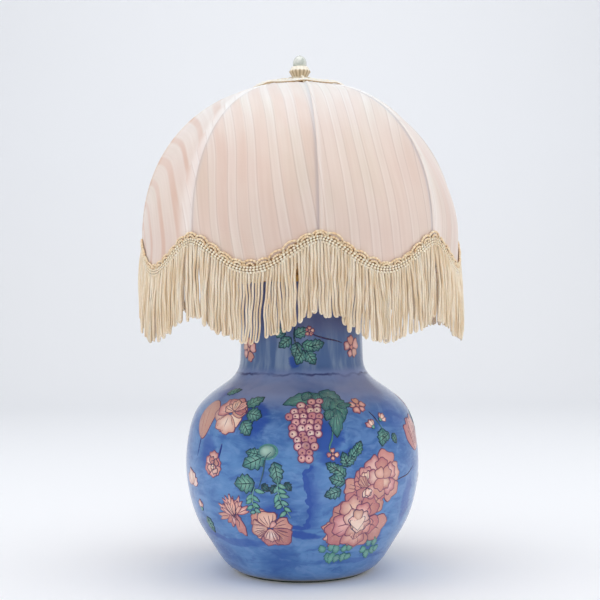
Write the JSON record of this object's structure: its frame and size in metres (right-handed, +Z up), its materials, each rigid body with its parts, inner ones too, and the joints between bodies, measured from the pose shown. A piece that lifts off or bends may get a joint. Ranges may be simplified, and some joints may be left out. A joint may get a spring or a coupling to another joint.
{
  "type": "table lamp",
  "caption": "Table lamp: painted ceramic vase base with brass fittings, harp and lamp holder, under a domed panelled fabric shade with braided, fringed, scalloped hem.",
  "frame": {"origin": "centre of the felt's underside, on the surface that the lamp stands on", "axes": "+Z up along the lamp's axis; -Y is the front seen in the picture and +X is to its right; the cord's bushing is at the back, +Y"},
  "size_m": [0.3884, 0.3884, 0.6152],
  "materials": {
    "glazed_ceramic": "clear gloss glaze over brushed blue with painted flowers",
    "black_rubber": "moulded matte",
    "green_felt": "dark pressed felt",
    "plated_steel": "zinc plated",
    "brass": "polished and lacquered",
    "insulating_paper": "pressed board",
    "moulded_insulator": "moulded phenolic",
    "bulb_glass": "inside frosted",
    "bulb_metal": "thin rolled",
    "frame_wire": "white enamelled wire",
    "satin_stripe": "satin with woven stripes and dotted lines",
    "lining_cloth": "plain taffeta",
    "gimp_braid": "looped gimp",
    "chainette": "looped cord",
    "finial_cream": "antique cream over metal",
    "finial_stone": "polished"
  },
  "bodies": {
    "root": {"vase": "glazed_ceramic", "cord_bushing": "black_rubber", "base_felt": "green_felt", "rubber_washer": "black_rubber", "steel_washer": "plated_steel", "bottom_nut": "plated_steel", "lamp_pipe": "plated_steel", "mouth_gasket": "black_rubber", "vase_cap": "brass", "brass_spindle": "brass", "harp_saddle": "brass", "saddle_nut": "plated_steel", "harp_bow": "brass", "harp_seat": "brass", "harp_stud": "brass", "holder_cap": "brass", "holder_shell": "brass", "paper_liner": "insulating_paper", "holder_insert": "moulded_insulator", "contact_shell": "brass", "centre_contact": "brass", "terminal_screws": "plated_steel"},
    "shade": {"shade_ring": "frame_wire", "shade_hub": "frame_wire", "spider_arms": "frame_wire", "hem_wire": "frame_wire", "shade_lining": "lining_cloth", "crown_braid": "gimp_braid", "hem_braid": "gimp_braid", "shade_fringe": "chainette", "shade_rib_1": "frame_wire", "shade_rib_2": "frame_wire", "shade_rib_3": "frame_wire", "shade_rib_4": "frame_wire", "shade_rib_5": "frame_wire", "shade_rib_6": "frame_wire", "shade_rib_7": "frame_wire", "shade_rib_8": "frame_wire", "shade_gore_1": "satin_stripe", "shade_gore_2": "satin_stripe", "shade_gore_3": "satin_stripe", "shade_gore_4": "satin_stripe", "shade_gore_5": "satin_stripe", "shade_gore_6": "satin_stripe", "shade_gore_7": "satin_stripe", "shade_gore_8": "satin_stripe"},
    "finial": {"finial_cup": "finial_cream", "finial_insert": "brass", "finial_dome": "finial_stone"},
    "switch": {"switch_shaft": "brass", "switch_knob": "moulded_insulator"},
    "bulb": {"bulb_glass": "bulb_glass", "bulb_base": "bulb_metal", "bulb_button": "bulb_metal", "bulb_insulator": "moulded_insulator", "bulb_stem": "bulb_glass", "bulb_filament": "bulb_metal"},
    "left_sleeve": {"left_sleeve": "brass"},
    "right_sleeve": {"right_sleeve": "brass"}
  },
  "joints": [
    {"name": "shade_turn", "type": "hinge", "parent": "root", "child": "shade", "pos_m": [0, 0, 0.5849], "axis": [0, 0, 1], "continuous": true},
    {"name": "finial_turn", "type": "hinge", "parent": "root", "child": "finial", "pos_m": [0, 0, 0.5849], "axis": [0, 0, 1], "continuous": true},
    {"name": "switch_turn", "type": "hinge", "parent": "root", "child": "switch", "pos_m": [0, 0, 0.4063], "axis": [0, -1, 0], "continuous": true},
    {"name": "bulb_turn", "type": "hinge", "parent": "root", "child": "bulb", "pos_m": [0, 0, 0.414], "axis": [0, 0, 1], "continuous": true},
    {"name": "left_sleeve_slide", "type": "slide", "parent": "root", "child": "left_sleeve", "axis": [0, 0, 1], "range_m": [0, 0.01]},
    {"name": "right_sleeve_slide", "type": "slide", "parent": "root", "child": "right_sleeve", "axis": [0, 0, 1], "range_m": [0, 0.01]}
  ]
}
